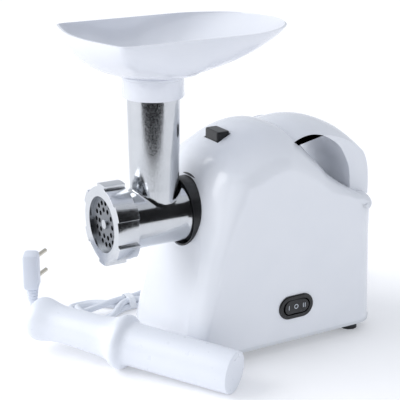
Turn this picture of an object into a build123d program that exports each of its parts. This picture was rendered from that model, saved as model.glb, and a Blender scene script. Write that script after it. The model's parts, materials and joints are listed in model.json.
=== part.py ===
"""Electric meat grinder: motor body, cast grinding head, tray, pusher and mains lead.

The ring nut faces -Y, the switch is on the +X side and +Z is up. The feet stand on z = 0, and the
origin is under the middle of all that stands on the table, apart from the lead.
Helper planes measure `back` from the ring nut's face, `across` and `up` from the drive axis.
"""
import math
import os

from build123d import *

os.makedirs("parts", exist_ok=True)

# Place of the drive axis and of the ring nut's front face
AXIS_X = -25.04
FRONT_Y = -111.79
AXIS_Z = 128.0

# Fits
RUNNING_GAP = 0.05
LOOSE_GAP = 0.4

# Motor body
BODY_HALF_WIDTH = 61.0
WALL = 2.5
BODY_BOTTOM = -118.5
PLAN_RADIUS = 23.0
ROOF_RADIUS = 55.0
ROOF_UP = 74.0
FRONT_FOOT = 54.0
BODY_HEIGHT = 230.0
BELOW = 60.0
FRONT_SLOPE = (0.214, 1.0)
SHELF_DRAFT = 5.0
ROOF_STEPS = 14
ROOF_POINTS = [
    (78.5, -4), (84, 28), (95, 51), (122, 67.5), (150, 73), (172, 65.5), (192, 44), (213, 20), (236, 4.5),
]
BODY_REAR = 253.0
REAR_SHELF_UP = 4.5
BASE_THICKNESS = 3.0
FOOT_RADIUS = 8.0
FOOT_ACROSS = 44.0
FOOT_BACK_FRONT = 84.0
FOOT_BACK_REAR = 232.0
SCREW_HEAD_RADIUS = 3.6
SCREW_HEAD_HEIGHT = 1.6

# Carry handle
HANDLE_HALF_WIDTH = 42.0

# Grinding head
BARREL_BORE = 21.0
BARREL_WALL = 4.6
BARREL_RADIUS = BARREL_BORE + BARREL_WALL
THREAD_RADIUS = 30.0
THREAD_LENGTH = 15.0
THREAD_WALL = 2.8
CHAMBER_RADIUS = THREAD_RADIUS - THREAD_WALL
CHAMBER_DEPTH = 15.0
MOUTH_BACK = 4.0
TUBE_BACK = 51.0
TUBE_BORE = 19.4
TUBE_TOP_WALL = 3.3
TUBE_FOOT_WALL = 2.1
TUBE_RADIUS_TOP = TUBE_BORE + TUBE_TOP_WALL
TUBE_RADIUS_FOOT = TUBE_BORE + TUBE_FOOT_WALL
TUBE_TOP_UP = 127.0
THROAT_RELIEF = 0.4
THROAT_ABOVE_BORE = 3.0
FLANGE_RIM = 2.0
FLANGE_RADIUS = BARREL_RADIUS + FLANGE_RIM
FLANGE_BACK = 78.0
FLANGE_END = 84.5
TAIL_WALL = 3.0
TAIL_RADIUS = BARREL_BORE + TAIL_WALL
TAIL_END = 98.0
TAIL_FLOOR = 8.0
LUG_STANDS_OUT = 4.0
LUG_REACH = TAIL_RADIUS + LUG_STANDS_OUT
LUG_THICKNESS = 4.0
LUG_WIDTH = 12.0
LUG_COUNT = 3
NOTCH_TURN = 40.0

# Ring nut and cutting set
NUT_WALL = 3.2
NUT_LUG_HEIGHT = 2.8
NUT_RADIUS = THREAD_RADIUS + NUT_WALL
NUT_LUG_REACH = NUT_RADIUS + NUT_LUG_HEIGHT
NUT_LUG_WIDTH = 11.0
NUT_LUG_COUNT = 6
NUT_DEPTH = 19.5
NUT_LIP = 4.0
PLATE_GAP = 0.45
PLATE_RADIUS = CHAMBER_RADIUS - PLATE_GAP
PLATE_THICKNESS = 5.0
PLATE_HOLE = 2.2
PLATE_RINGS = ((0.684, 16), (0.456, 10))
LIP_OVER_PLATE = 2.25
OUTLET_RADIUS = PLATE_RADIUS - LIP_OVER_PLATE
PIN_RADIUS = 4.0
KNIFE_HUB = 9.0
KNIFE_GAP = 2.2
KNIFE_REACH = CHAMBER_RADIUS - KNIFE_GAP
KNIFE_BLADE = 7.0
KNIFE_THICKNESS = 6.0
KNIFE_SQUARE = 8.4
WORM_GAP = 0.8
WORM_CORE = 9.0
WORM_REACH = BARREL_BORE - WORM_GAP
WORM_PITCH = 17.0
FLIGHT_THICKNESS = 3.0
WASHER_THICKNESS = 2.0
WASHER_RADIUS = 14.0

# Tray
TRAY_HALF_WIDTH = 65.0
TRAY_FRONT = -21.0
TRAY_CORNER = -7.0
TRAY_SIDE_END = 118.0
TRAY_REAR = 172.0
TRAY_RIM_UP = 162.0
TRAY_WALL = 2.0
TRAY_NECK_UP = 126.5
COLLAR_WALL = 3.3
COLLAR_RADIUS = TUBE_RADIUS_TOP + COLLAR_WALL
COLLAR_BOTTOM_UP = 105.5
TRAY_CONE_RISE = 0.42

# Pusher
PUSHER_BESIDE = 46.0
PUSHER_X = BODY_HALF_WIDTH + PUSHER_BESIDE
PUSHER_BACK = 68.0
PUSHER_HEADING = (-0.8425, -0.5386)
PUSHER_GAP = 0.6
PUSHER_RADIUS = TUBE_BORE - PUSHER_GAP
PUSHER_SHANK = 100.9
PUSHER_COLLAR_RIM = 5.5
PUSHER_COLLAR_RADIUS = PUSHER_RADIUS + PUSHER_COLLAR_RIM
PUSHER_COLLAR_WIDTH = 13.0
PUSHER_GRIP_RADIUS = 17.5
PUSHER_NECK_RADIUS = 15.5
PUSHER_KNOB_RADIUS = 20.0
PUSHER_LENGTH = 201.6

# Gear train: tooth counts and modules of the two stages
FAST_MODULE = 0.8
SLOW_MODULE = 1.2
PINION_TEETH = 12
FAST_TEETH = 72
SLOW_TEETH = 60
GEAR_WIDTH = 10.0
FAST_WIDTH = 6.0
SHAFT_RADIUS = 4.0
SPINDLE_RADIUS = 8.0
BUSH_WALL = 3.0
PLATE_FRONT_BACK = 100.0
PLATE_REAR_BACK = 126.0
BEARING_PLATE = 3.0
BEARING_PLATE_TOP = 38.0
SLOW_BACK = 105.0
FAST_BACK = 117.0
PILLAR_RADIUS = 3.5

# Motor
MOTOR_DROP = 62.0
CORE_HALF_WIDTH = 38.0
CORE_HALF_HEIGHT = 33.0
CORE_BACK = 145.0
CORE_LENGTH = 38.0
ARMATURE_RADIUS = 21.5
AIR_GAP = 0.5
COIL_THICKNESS = 6.0
COIL_OVERHANG = 6.0
BOLT_ACROSS = 33.0
BOLT_UP = 28.0
BOLT_RADIUS = 2.0
FAN_BACK = 130.5
FAN_RADIUS = 30.0
FAN_DEPTH = 7.0
FAN_BLADES = 9
COMMUTATOR_BACK = 191.0
COMMUTATOR_LENGTH = 12.0
COMMUTATOR_RADIUS = 11.0
BRUSH_LENGTH = 18.0
BRUSH_SIZE = 9.0
BRACKET_BACK = 206.0
BRACKET_THICKNESS = 3.0

# Head socket and its release
SOCKET_WALL = 5.0
SOCKET_RADIUS = LUG_REACH + SOCKET_WALL
SOCKET_RING_WIDTH = 3.0
SOCKET_RING_GAP = 1.0
SOCKET_RING_RADIUS = FLANGE_RADIUS + SOCKET_RING_GAP
BUTTON_BACK = 113.7
BUTTON_ACROSS = 23.0
BUTTON_DEPTH = 12.5
BUTTON_TOP_UP = 69.0
BUTTON_BASE_UP = 57.0
STEM_SIZE = 7.0
LATCH_BACK = 95.5
LATCH_UP = 29.0
LATCH_ARM_UP = 43.0
LATCH_THICKNESS = 2.0

# Switch
SWITCH_BACK = 159.5
SWITCH_HEIGHT = 42.0
BEZEL_LENGTH = 36.0
BEZEL_HEIGHT = 22.0
BEZEL_PROUD = 1.6
ROCKER_LENGTH = 25.0
ROCKER_HEIGHT = 13.0
ROCKER_PROUD = 2.6
ROCKER_SWING_GAP = 3.0
SWITCH_BODY_DEPTH = 14.0

# Mains lead: points are (x, back, height of the centre line), chosen by hand
CORD_RADIUS = 3.0
LYING_GAP = 0.1
CORD_EXIT_X = -40.0
CORD_HEIGHT = 19.0
RELIEF_LENGTH = 22.0
HANK_FRONT = 12.0
HANK_REAR = 170.0
HANK_BESIDE = 38.0
HANK_X = -BODY_HALF_WIDTH - HANK_BESIDE
HANK_HEIGHT = 12.0
HANK_END_RADIUS = 27.5
HANK_WAIST = 9.0
HANK_WAIST_BACK = 73.0
TIE_WIDTH = 6.0
TIE_WALL = 1.0
PLUG_X = -80.6
PLUG_BACK = -33.6
PLUG_WIDTH = 14.0
PLUG_DEPTH = 18.0
PLUG_HEIGHT = 34.0
PLUG_FOOT = 49.0
PLUG_RELIEF = 13.0
PLUG_PIN_RADIUS = 2.0
PLUG_PIN_LENGTH = 19.0
PLUG_PIN_SPACING = 19.0
PLUG_TURN = 130.0


def facing(back, across=0.0, up=0.0):
    """A plane across the drive axis: local x is -X, local y is up, the normal points rearwards."""
    origin = (AXIS_X + across, FRONT_Y + back, AXIS_Z + up)
    return Plane(origin=origin, x_dir=(-1, 0, 0), z_dir=(0, 1, 0))


def level(up, across=0.0, back=0.0):
    """A level plane, its height counted from the drive axis."""
    return Plane(origin=(AXIS_X + across, FRONT_Y + back, AXIS_Z + up))


def side(across=0.0, up=0.0):
    """An upright plane along the machine: local x is rearwards, local y is up, the normal is +X."""
    origin = (AXIS_X + across, FRONT_Y, AXIS_Z + up)
    return Plane(origin=origin, x_dir=(0, 1, 0), z_dir=(1, 0, 0))


def along(across=0.0, up=0.0):
    """A line parallel to the drive axis."""
    return Axis((AXIS_X + across, FRONT_Y, AXIS_Z + up), (0, 1, 0))


def turned(name, points, across=0.0, up=0.0):
    """A solid turned about a line parallel to the drive axis, from (back, radius) points."""
    with BuildPart() as piece:
        with BuildSketch(side(across, up)):
            with BuildLine():
                Polyline(*points, close=True)
            make_face()
        revolve(axis=along(across, up))
    piece.part.label = name
    return piece.part


def keep(part, name):
    """Label a finished piece and write its STEP file."""
    part.label = name
    export_step(part, f"parts/{name}.step")


def body_block(inset):
    """The motor body's outer form, drawn in from every side by `inset`.

    It is the side view, the plan and the front view, each extruded, and what all three share.
    """
    half_width = BODY_HALF_WIDTH - inset
    bottom = BODY_BOTTOM + inset
    roof_line = Spline(*ROOF_POINTS, tangents=[FRONT_SLOPE, (1, -0.12)], mode=Mode.PRIVATE)
    roof_points = []
    for step in range(ROOF_STEPS + 1):
        spot, run = roof_line @ (step / ROOF_STEPS), roof_line % (step / ROOF_STEPS)
        roof_points.append((spot.X + inset * run.Y, spot.Y - inset * run.X))
    with BuildPart() as block:
        with BuildSketch(side()):
            with BuildLine():
                front = Line((FRONT_FOOT + inset * (1 + FRONT_SLOPE[0]), bottom), roof_points[0])
                roof = Spline(*roof_points)
                shelf = Line(roof @ 1, (BODY_REAR - SHELF_DRAFT - inset, REAR_SHELF_UP - 1 - inset))
                rear = Line(shelf @ 1, (BODY_REAR - inset, bottom))
                Line(rear @ 1, front @ 0)
            make_face()
        extrude(amount=half_width, both=True)
        with BuildSketch(level(BODY_BOTTOM, back=(BODY_REAR + FRONT_FOOT) / 2)):
            RectangleRounded(2 * half_width, BODY_REAR - FRONT_FOOT - 2 * inset, PLAN_RADIUS - inset)
        extrude(amount=BODY_HEIGHT, mode=Mode.INTERSECT)
        with BuildSketch(facing(0)):
            with Locations((0, (BODY_BOTTOM + ROOF_UP) / 2 - BELOW)):
                RectangleRounded(
                    2 * half_width, ROOF_UP - BODY_BOTTOM + 2 * BELOW - 2 * inset, ROOF_RADIUS - inset
                )
        extrude(amount=BODY_REAR + 1, mode=Mode.INTERSECT)
    return block.part


outer_body = body_block(0)
hollow_body = body_block(WALL)

# Motor casing: two half shells that meet on the centre plane, open below for the base cover
switch_up = SWITCH_HEIGHT - AXIS_Z
with BuildPart() as casing:
    add(outer_body)
    add(hollow_body, mode=Mode.SUBTRACT)
    with BuildSketch(side()):
        with Locations(((57 + BODY_REAR) / 2, BODY_BOTTOM + BASE_THICKNESS / 2)):
            Rectangle(2 * BODY_REAR, BASE_THICKNESS)
    extrude(amount=BODY_HALF_WIDTH + 1, both=True, mode=Mode.SUBTRACT)
    with BuildSketch(facing(60)):
        Circle(SOCKET_RADIUS)
    extrude(amount=30, mode=Mode.SUBTRACT)
    with BuildSketch(level(30, back=BUTTON_BACK)):
        Rectangle(BUTTON_ACROSS + 2 * LOOSE_GAP, BUTTON_DEPTH + 2 * LOOSE_GAP)
    extrude(amount=60, mode=Mode.SUBTRACT)
    with BuildSketch(side(BODY_HALF_WIDTH - 2 * WALL, switch_up)):
        with Locations((SWITCH_BACK, 0)):
            SlotOverall(BEZEL_LENGTH - 4, BEZEL_HEIGHT - 4)
    extrude(amount=4 * WALL, mode=Mode.SUBTRACT)
    with BuildSketch(facing(BODY_REAR - 12, across=CORD_EXIT_X, up=CORD_HEIGHT - AXIS_Z)):
        Circle(CORD_RADIUS + 2)
    extrude(amount=20, mode=Mode.SUBTRACT)

with BuildPart() as left_shell:
    add(casing.part)
    with BuildSketch(side()):
        with Locations((BODY_REAR / 2, 0)):
            Rectangle(2 * BODY_REAR, 2 * BODY_HEIGHT)
    extrude(amount=-BODY_HALF_WIDTH - 1, mode=Mode.INTERSECT)
keep(left_shell.part, "left_shell")

with BuildPart() as right_shell:
    add(casing.part)
    with BuildSketch(side()):
        with Locations((BODY_REAR / 2, 0)):
            Rectangle(2 * BODY_REAR, 2 * BODY_HEIGHT)
    extrude(amount=BODY_HALF_WIDTH + 1, mode=Mode.INTERSECT)
keep(right_shell.part, "right_shell")

# Base cover: a plate that closes the shells below
with BuildPart() as base_cover:
    add(outer_body)
    with BuildSketch(side()):
        with Locations((BODY_REAR / 2, BODY_BOTTOM + BASE_THICKNESS / 2)):
            Rectangle(2 * BODY_REAR, BASE_THICKNESS)
    extrude(amount=BODY_HALF_WIDTH + 1, both=True, mode=Mode.INTERSECT)
keep(base_cover.part, "base_cover")

# Four rubber feet under the base cover
foot_spots = [
    (sign * FOOT_ACROSS, back) for sign in (-1, 1) for back in (FOOT_BACK_FRONT, FOOT_BACK_REAR)
]
foot_height = AXIS_Z + BODY_BOTTOM
with BuildPart() as feet:
    with BuildSketch(level(-AXIS_Z)):
        with Locations(*foot_spots):
            Circle(FOOT_RADIUS)
    extrude(amount=foot_height, taper=4)
keep(feet.part, "rubber_feet")

# Carry handle: a hood that runs from the roof back and down to the rear shelf
with BuildPart() as carry_handle:
    with BuildSketch(side()):
        with BuildLine():
            top = Spline(
                (160, 70), (172, 73.5), (187, 74), (217, 67), (239, 54.5), (248, 33), (250, 0),
                tangents=[(1, 0.4), (0.02, -1)],
            )
            foot = Line(top @ 1, (229, 0))
            under = Spline(
                foot @ 1, (227.5, 27), (215, 51), (198, 66), (182, 68), (165, 60),
                tangents=[(0, 1), (-1, -0.7)],
            )
            Line(under @ 1, top @ 0)
        make_face()
    extrude(amount=HANDLE_HALF_WIDTH, both=True)
    add(outer_body, mode=Mode.SUBTRACT)
keep(carry_handle.part.solids().sort_by(SortBy.VOLUME)[-1], "carry_handle")

# Grinding head: cast housing with its feed tube, screw thread land and bayonet tail
with BuildPart() as head:
    with BuildSketch(side()):
        with BuildLine():
            Polyline(
                (MOUTH_BACK, 0), (MOUTH_BACK, THREAD_RADIUS),
                (MOUTH_BACK + THREAD_LENGTH, THREAD_RADIUS), (MOUTH_BACK + THREAD_LENGTH + 4, BARREL_RADIUS),
                (FLANGE_BACK - 3, BARREL_RADIUS), (FLANGE_BACK, FLANGE_RADIUS),
                (FLANGE_END, FLANGE_RADIUS), (FLANGE_END, TAIL_RADIUS), (TAIL_END, TAIL_RADIUS),
                (TAIL_END, 0), close=True,
            )
        make_face()
    revolve(axis=along())
    with BuildSketch(level(0, back=TUBE_BACK)):
        Circle(TUBE_RADIUS_FOOT)
    with BuildSketch(level(TUBE_TOP_UP, back=TUBE_BACK)):
        Circle(TUBE_RADIUS_TOP)
    loft()
    with BuildSketch(level(0, back=TUBE_BACK)):
        Circle(TUBE_BORE)
    extrude(amount=TUBE_TOP_UP, mode=Mode.SUBTRACT)
    with BuildSketch(level(0, back=TUBE_BACK)):
        Circle(TUBE_BORE + THROAT_RELIEF)
    extrude(amount=BARREL_BORE + THROAT_ABOVE_BORE, mode=Mode.SUBTRACT)
    with BuildSketch(side()):
        with BuildLine():
            Polyline(
                (MOUTH_BACK, 0), (MOUTH_BACK, CHAMBER_RADIUS), (MOUTH_BACK + CHAMBER_DEPTH, CHAMBER_RADIUS),
                (MOUTH_BACK + CHAMBER_DEPTH, BARREL_BORE), (TAIL_END - TAIL_FLOOR, BARREL_BORE),
                (TAIL_END - TAIL_FLOOR, SPINDLE_RADIUS + 1), (TAIL_END, SPINDLE_RADIUS + 1), (TAIL_END, 0), close=True,
            )
        make_face()
    revolve(axis=along(), mode=Mode.SUBTRACT)
    with BuildSketch(facing(TAIL_END - LUG_THICKNESS)):
        with PolarLocations(LUG_REACH - 4, LUG_COUNT, start_angle=90):
            Rectangle(8, LUG_WIDTH)
        Circle(TAIL_RADIUS - 2, mode=Mode.SUBTRACT)
    extrude(amount=LUG_THICKNESS)
keep(head.part, "grinding_head")

# Ring nut: six grip lugs, a lip round the outlet, and a bore over the head's thread land
with BuildPart() as ring_nut:
    with BuildSketch(facing(0)):
        Circle(NUT_RADIUS)
        with PolarLocations(NUT_LUG_REACH - 4, NUT_LUG_COUNT, start_angle=90):
            Rectangle(8, NUT_LUG_WIDTH)
    extrude(amount=NUT_DEPTH)
    with BuildSketch(facing(0)):
        Circle(OUTLET_RADIUS)
    extrude(amount=NUT_DEPTH, mode=Mode.SUBTRACT)
    with BuildSketch(facing(NUT_LIP)):
        Circle(THREAD_RADIUS + RUNNING_GAP)
    extrude(amount=NUT_DEPTH - NUT_LIP, mode=Mode.SUBTRACT)
keep(ring_nut.part, "ring_nut")

# Hole plate in the head's mouth, held by the ring nut's lip
with BuildPart() as hole_plate:
    with BuildSketch(facing(MOUTH_BACK)):
        Circle(PLATE_RADIUS)
        Circle(PIN_RADIUS + RUNNING_GAP, mode=Mode.SUBTRACT)
        for ring_share, hole_count in PLATE_RINGS:
            with PolarLocations(ring_share * PLATE_RADIUS, hole_count):
                Circle(PLATE_HOLE, mode=Mode.SUBTRACT)
    extrude(amount=PLATE_THICKNESS)
keep(hole_plate.part, "hole_plate")

# Four-bladed knife on the worm's square
knife_back = MOUTH_BACK + PLATE_THICKNESS
with BuildPart() as knife:
    with BuildSketch(facing(knife_back)):
        Circle(KNIFE_HUB)
        for blade_turn in (0, 90):
            Rectangle(2 * KNIFE_REACH, KNIFE_BLADE, rotation=blade_turn)
        Rectangle(KNIFE_SQUARE, KNIFE_SQUARE, mode=Mode.SUBTRACT)
    extrude(amount=KNIFE_THICKNESS)
keep(knife.part, "cutting_knife")

# Worm: core, helical flight, square and pin at the front, drive tail behind
worm_front = knife_back + KNIFE_THICKNESS
worm_end = TAIL_END - TAIL_FLOOR - WASHER_THICKNESS
flight_start = worm_front + 5
with BuildPart() as worm:
    with BuildSketch(facing(worm_front)):
        Circle(WORM_CORE)
    extrude(amount=worm_end - worm_front)
    with BuildSketch(facing(knife_back)):
        Rectangle(KNIFE_SQUARE, KNIFE_SQUARE)
    extrude(amount=KNIFE_THICKNESS)
    with BuildSketch(facing(MOUTH_BACK - 2)):
        Circle(PIN_RADIUS)
    extrude(amount=knife_back - MOUTH_BACK + 2)
    with BuildSketch(facing(worm_end)):
        Circle(SPINDLE_RADIUS)
    extrude(amount=TAIL_END + 1 - worm_end)
    flight_length = worm_end - flight_start - FLIGHT_THICKNESS
    mid_radius = (WORM_CORE + WORM_REACH) / 2 - 0.5
    flight_path = Helix(
        WORM_PITCH, flight_length, mid_radius, center=facing(flight_start).origin, direction=(0, 1, 0),
        mode=Mode.PRIVATE,
    )
    outwards = (flight_path @ 0) - facing(flight_start).origin
    with BuildSketch(Plane(origin=flight_path @ 0, x_dir=outwards, z_dir=flight_path % 0)):
        Rectangle(WORM_REACH - WORM_CORE + 1, FLIGHT_THICKNESS)
    sweep(path=flight_path, is_frenet=True)
keep(worm.part, "feed_worm")

washer_end = worm_end + WASHER_THICKNESS
washer_bore = SPINDLE_RADIUS + LOOSE_GAP
washer_profile = [
    (worm_end, washer_bore), (worm_end, WASHER_RADIUS), (washer_end, WASHER_RADIUS), (washer_end, washer_bore),
]
keep(turned("worm_washer", washer_profile), "worm_washer")

# Socket in the casing that takes the head's bayonet tail, with a groove behind its notched lip
with BuildPart() as head_socket:
    with BuildSketch(facing(FLANGE_END + LOOSE_GAP)):
        Circle(SOCKET_RADIUS)
    extrude(amount=PLATE_FRONT_BACK - FLANGE_END - LOOSE_GAP)
    with BuildSketch(facing(FLANGE_END)):
        Circle(TAIL_RADIUS + LOOSE_GAP)
        with PolarLocations(LUG_REACH - 4, LUG_COUNT, start_angle=90 - NOTCH_TURN):
            Rectangle(9, LUG_WIDTH + 2)
    extrude(amount=TAIL_END - FLANGE_END, mode=Mode.SUBTRACT)
    with BuildSketch(facing(TAIL_END - LUG_THICKNESS - 1)):
        Circle(LUG_REACH + 1)
    extrude(amount=LUG_THICKNESS + 1 + LOOSE_GAP, mode=Mode.SUBTRACT)
    with BuildSketch(facing(FLANGE_END)):
        Circle(SPINDLE_RADIUS + 2)
    extrude(amount=PLATE_FRONT_BACK - FLANGE_END, mode=Mode.SUBTRACT)
    with BuildSketch(facing(LATCH_BACK - 1, up=LATCH_UP + 5)):
        Rectangle(STEM_SIZE + 2, 12)
    extrude(amount=LATCH_THICKNESS + 2, mode=Mode.SUBTRACT)
keep(head_socket.part, "head_socket")

# Black trim ring round the socket's mouth
with BuildPart() as socket_ring:
    with BuildSketch(facing(FLANGE_END + LOOSE_GAP - SOCKET_RING_WIDTH)):
        Circle(SOCKET_RADIUS - LOOSE_GAP)
        Circle(SOCKET_RING_RADIUS, mode=Mode.SUBTRACT)
    extrude(amount=SOCKET_RING_WIDTH)
keep(socket_ring.part, "socket_ring")

# Tray: a scoop whose floor is a shallow cone round the feed tube, with a collar over the tube


def tray_block(inset, rise):
    """The tray's outer form, its sides drawn in by `inset` and its floor raised by `rise`."""
    half_width = TRAY_HALF_WIDTH - inset
    far_radius = TRAY_REAR - TUBE_BACK + 20
    neck = COLLAR_RADIUS - inset
    with BuildPart() as block:
        with BuildSketch(level(COLLAR_BOTTOM_UP - 1)):
            with BuildLine():
                left = Line((-half_width, TRAY_SIDE_END), (-half_width, TRAY_CORNER + inset))
                bow = ThreePointArc(left @ 1, (0, TRAY_FRONT + inset), (half_width, TRAY_CORNER + inset))
                right = Line(bow @ 1, (half_width, TRAY_SIDE_END))
                ThreePointArc(right @ 1, (0, TRAY_REAR - inset), left @ 0)
            make_face()
        extrude(amount=TRAY_RIM_UP - COLLAR_BOTTOM_UP + 1 + rise)
        with BuildSketch(side()):
            with BuildLine():
                Polyline(
                    (TUBE_BACK, COLLAR_BOTTOM_UP - 1), (TUBE_BACK + neck, COLLAR_BOTTOM_UP - 1),
                    (TUBE_BACK + neck, TRAY_NECK_UP + rise),
                    (TUBE_BACK + far_radius, TRAY_NECK_UP + rise + TRAY_CONE_RISE * (far_radius - COLLAR_RADIUS)),
                    (TUBE_BACK, TRAY_NECK_UP + rise + TRAY_CONE_RISE * (far_radius - COLLAR_RADIUS)), close=True,
                )
            make_face()
        revolve(axis=Axis((AXIS_X, FRONT_Y + TUBE_BACK, AXIS_Z), (0, 0, 1)), mode=Mode.INTERSECT)
    return block.part


tray_outer = tray_block(0, 0)
tray_hollow = tray_block(TRAY_WALL, TRAY_WALL)
with BuildPart() as tray:
    add(tray_outer)
    with BuildSketch(level(COLLAR_BOTTOM_UP - 2)):
        with Locations((0, TUBE_BACK)):
            Rectangle(4 * TRAY_HALF_WIDTH, 8 * TRAY_HALF_WIDTH)
    extrude(amount=2, mode=Mode.SUBTRACT)
    add(tray_hollow, mode=Mode.SUBTRACT)
    with BuildSketch(level(TRAY_NECK_UP, back=TUBE_BACK)):
        Circle(COLLAR_RADIUS)
        Circle(TUBE_BORE + LOOSE_GAP, mode=Mode.SUBTRACT)
    extrude(amount=TRAY_WALL)
    with BuildSketch(level(COLLAR_BOTTOM_UP, back=TUBE_BACK)):
        Circle(COLLAR_RADIUS)
        Circle(TUBE_RADIUS_TOP + LOOSE_GAP, mode=Mode.SUBTRACT)
    extrude(amount=TRAY_NECK_UP - COLLAR_BOTTOM_UP)
    with BuildSketch(level(COLLAR_BOTTOM_UP, back=TUBE_BACK)):
        Circle(TUBE_RADIUS_TOP + LOOSE_GAP)
    extrude(amount=TUBE_TOP_UP + LOOSE_GAP - COLLAR_BOTTOM_UP, mode=Mode.SUBTRACT)
keep(tray.part, "hopper_tray")

# Pusher: lies on the table, resting on the rim of its flat end and on its collar
heading = Vector(*PUSHER_HEADING, 0).normalized()
collar_at = PUSHER_SHANK + PUSHER_COLLAR_WIDTH / 2
lift = math.atan2(PUSHER_COLLAR_RADIUS - PUSHER_RADIUS, collar_at)
pusher_along = heading * math.cos(lift) + Vector(0, 0, math.sin(lift))
pusher_start = Vector(AXIS_X + PUSHER_X, FRONT_Y + PUSHER_BACK, PUSHER_RADIUS * math.cos(lift))
pusher_side = Plane(origin=pusher_start, x_dir=pusher_along, z_dir=heading.cross(Vector(0, 0, 1)))
grip_start = PUSHER_SHANK + PUSHER_COLLAR_WIDTH
neck_at = PUSHER_LENGTH - 2 * PUSHER_KNOB_RADIUS + 6
with BuildPart() as pusher:
    with BuildSketch(pusher_side):
        with BuildLine():
            shank = Polyline((0, 0), (0, PUSHER_RADIUS), (PUSHER_SHANK, PUSHER_RADIUS))
            collar = ThreePointArc(
                shank @ 1, (collar_at, PUSHER_COLLAR_RADIUS), (grip_start, PUSHER_GRIP_RADIUS)
            )
            grip = Line(collar @ 1, (neck_at, PUSHER_NECK_RADIUS))
            knob = Spline(
                grip @ 1, (PUSHER_LENGTH - PUSHER_KNOB_RADIUS, PUSHER_KNOB_RADIUS), (PUSHER_LENGTH, 0),
                tangents=[(1, 0.1), (0, -1)],
            )
            Line(knob @ 1, shank @ 0)
        make_face()
    revolve(axis=Axis(pusher_start, pusher_along))
keep(pusher.part, "pusher")


# Gear train
def shaft_between(first_reach, second_reach, drop):
    """Across and up of the shaft that lies `first_reach` from the drive axis and `second_reach` from the motor's."""
    up = (second_reach**2 - first_reach**2 - drop**2) / (2 * drop)
    return math.sqrt(first_reach**2 - up**2), up


slow_centres = SLOW_MODULE * (PINION_TEETH + SLOW_TEETH) / 2
fast_centres = FAST_MODULE * (PINION_TEETH + FAST_TEETH) / 2
LAY_ACROSS, LAY_UP = shaft_between(slow_centres, fast_centres, MOTOR_DROP)


def gear_sketch(module, teeth, towards, gap_first):
    """Teeth of a spur gear in the plane of facing(); a tooth, or a gap, points to `towards`, degrees."""
    pitch_angle = 2 * math.pi / teeth
    start = math.radians(towards) + (pitch_angle / 2 if gap_first else 0)
    pitch_radius = module * teeth / 2
    spans = ((pitch_radius - 1.2 * module, 0.31), (pitch_radius, 0.225), (pitch_radius + 0.85 * module, 0.13))
    points = []
    for tooth in range(teeth):
        centre = start + tooth * pitch_angle
        for radius, share in spans:
            turn = centre - share * pitch_angle
            points.append((radius * math.cos(turn), radius * math.sin(turn)))
        for radius, share in reversed(spans):
            turn = centre + share * pitch_angle
            points.append((radius * math.cos(turn), radius * math.sin(turn)))
    Polygon(*points, align=None)


# In facing(), local x is -X: directions between the shafts
to_lay = math.degrees(math.atan2(LAY_UP, -LAY_ACROSS))
lay_to_motor = math.degrees(math.atan2(-MOTOR_DROP - LAY_UP, LAY_ACROSS))

with BuildPart() as output_gear:
    with BuildSketch(facing(SLOW_BACK)):
        gear_sketch(SLOW_MODULE, SLOW_TEETH, to_lay, False)
        Circle(SPINDLE_RADIUS, mode=Mode.SUBTRACT)
    extrude(amount=GEAR_WIDTH)
keep(output_gear.part, "output_gear")

with BuildPart() as spindle:
    with BuildSketch(facing(TAIL_END + 1)):
        Circle(SPINDLE_RADIUS)
    extrude(amount=PLATE_REAR_BACK + BEARING_PLATE - TAIL_END - 1)
keep(spindle.part, "output_spindle")

with BuildPart() as lay_pinion:
    with BuildSketch(facing(SLOW_BACK, LAY_ACROSS, LAY_UP)):
        gear_sketch(SLOW_MODULE, PINION_TEETH, to_lay + 180, True)
        Circle(SHAFT_RADIUS, mode=Mode.SUBTRACT)
    extrude(amount=GEAR_WIDTH)
keep(lay_pinion.part, "lay_pinion")

with BuildPart() as lay_gear:
    with BuildSketch(facing(FAST_BACK, LAY_ACROSS, LAY_UP)):
        gear_sketch(FAST_MODULE, FAST_TEETH, lay_to_motor, False)
        Circle(SHAFT_RADIUS, mode=Mode.SUBTRACT)
    extrude(amount=FAST_WIDTH)
keep(lay_gear.part, "lay_gear")

with BuildPart() as lay_shaft:
    with BuildSketch(facing(PLATE_FRONT_BACK, LAY_ACROSS, LAY_UP)):
        Circle(SHAFT_RADIUS)
    extrude(amount=PLATE_REAR_BACK + BEARING_PLATE - PLATE_FRONT_BACK)
keep(lay_shaft.part, "lay_shaft")

with BuildPart() as motor_pinion:
    with BuildSketch(facing(FAST_BACK - 1, up=-MOTOR_DROP)):
        gear_sketch(FAST_MODULE, PINION_TEETH, lay_to_motor + 180, True)
    extrude(amount=FAST_WIDTH + 2)
keep(motor_pinion.part, "motor_pinion")

# Bearing plates and the pillars between them; bushes sit in the plates' bores
bush_seats = {
    "front": ((0, 0, SPINDLE_RADIUS), (LAY_ACROSS, LAY_UP, SHAFT_RADIUS)),
    "rear": ((0, 0, SPINDLE_RADIUS), (LAY_ACROSS, LAY_UP, SHAFT_RADIUS), (0, -MOTOR_DROP, SHAFT_RADIUS)),
}
pillar_spots = [(sign * 50, height) for sign in (-1, 1) for height in (-88, -18)]


def bearing_plate(name, back, seats):
    """A plate across the casing with a bore for each bush."""
    with BuildPart() as plate:
        with BuildSketch(facing(back)):
            with Locations((0, -57)):
                Rectangle(2 * (BODY_HALF_WIDTH - WALL), 94)
            with Locations((0, (BEARING_PLATE_TOP - 10) / 2)):
                Rectangle(2 * BEARING_PLATE_TOP, BEARING_PLATE_TOP + 10)
            for across, up, shaft in seats:
                with Locations((-across, up)):
                    Circle(shaft + BUSH_WALL, mode=Mode.SUBTRACT)
        extrude(amount=BEARING_PLATE)
    keep(plate.part, name)


bearing_plate("front_bearing_plate", PLATE_FRONT_BACK, bush_seats["front"])
bearing_plate("rear_bearing_plate", PLATE_REAR_BACK, bush_seats["rear"])

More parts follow.
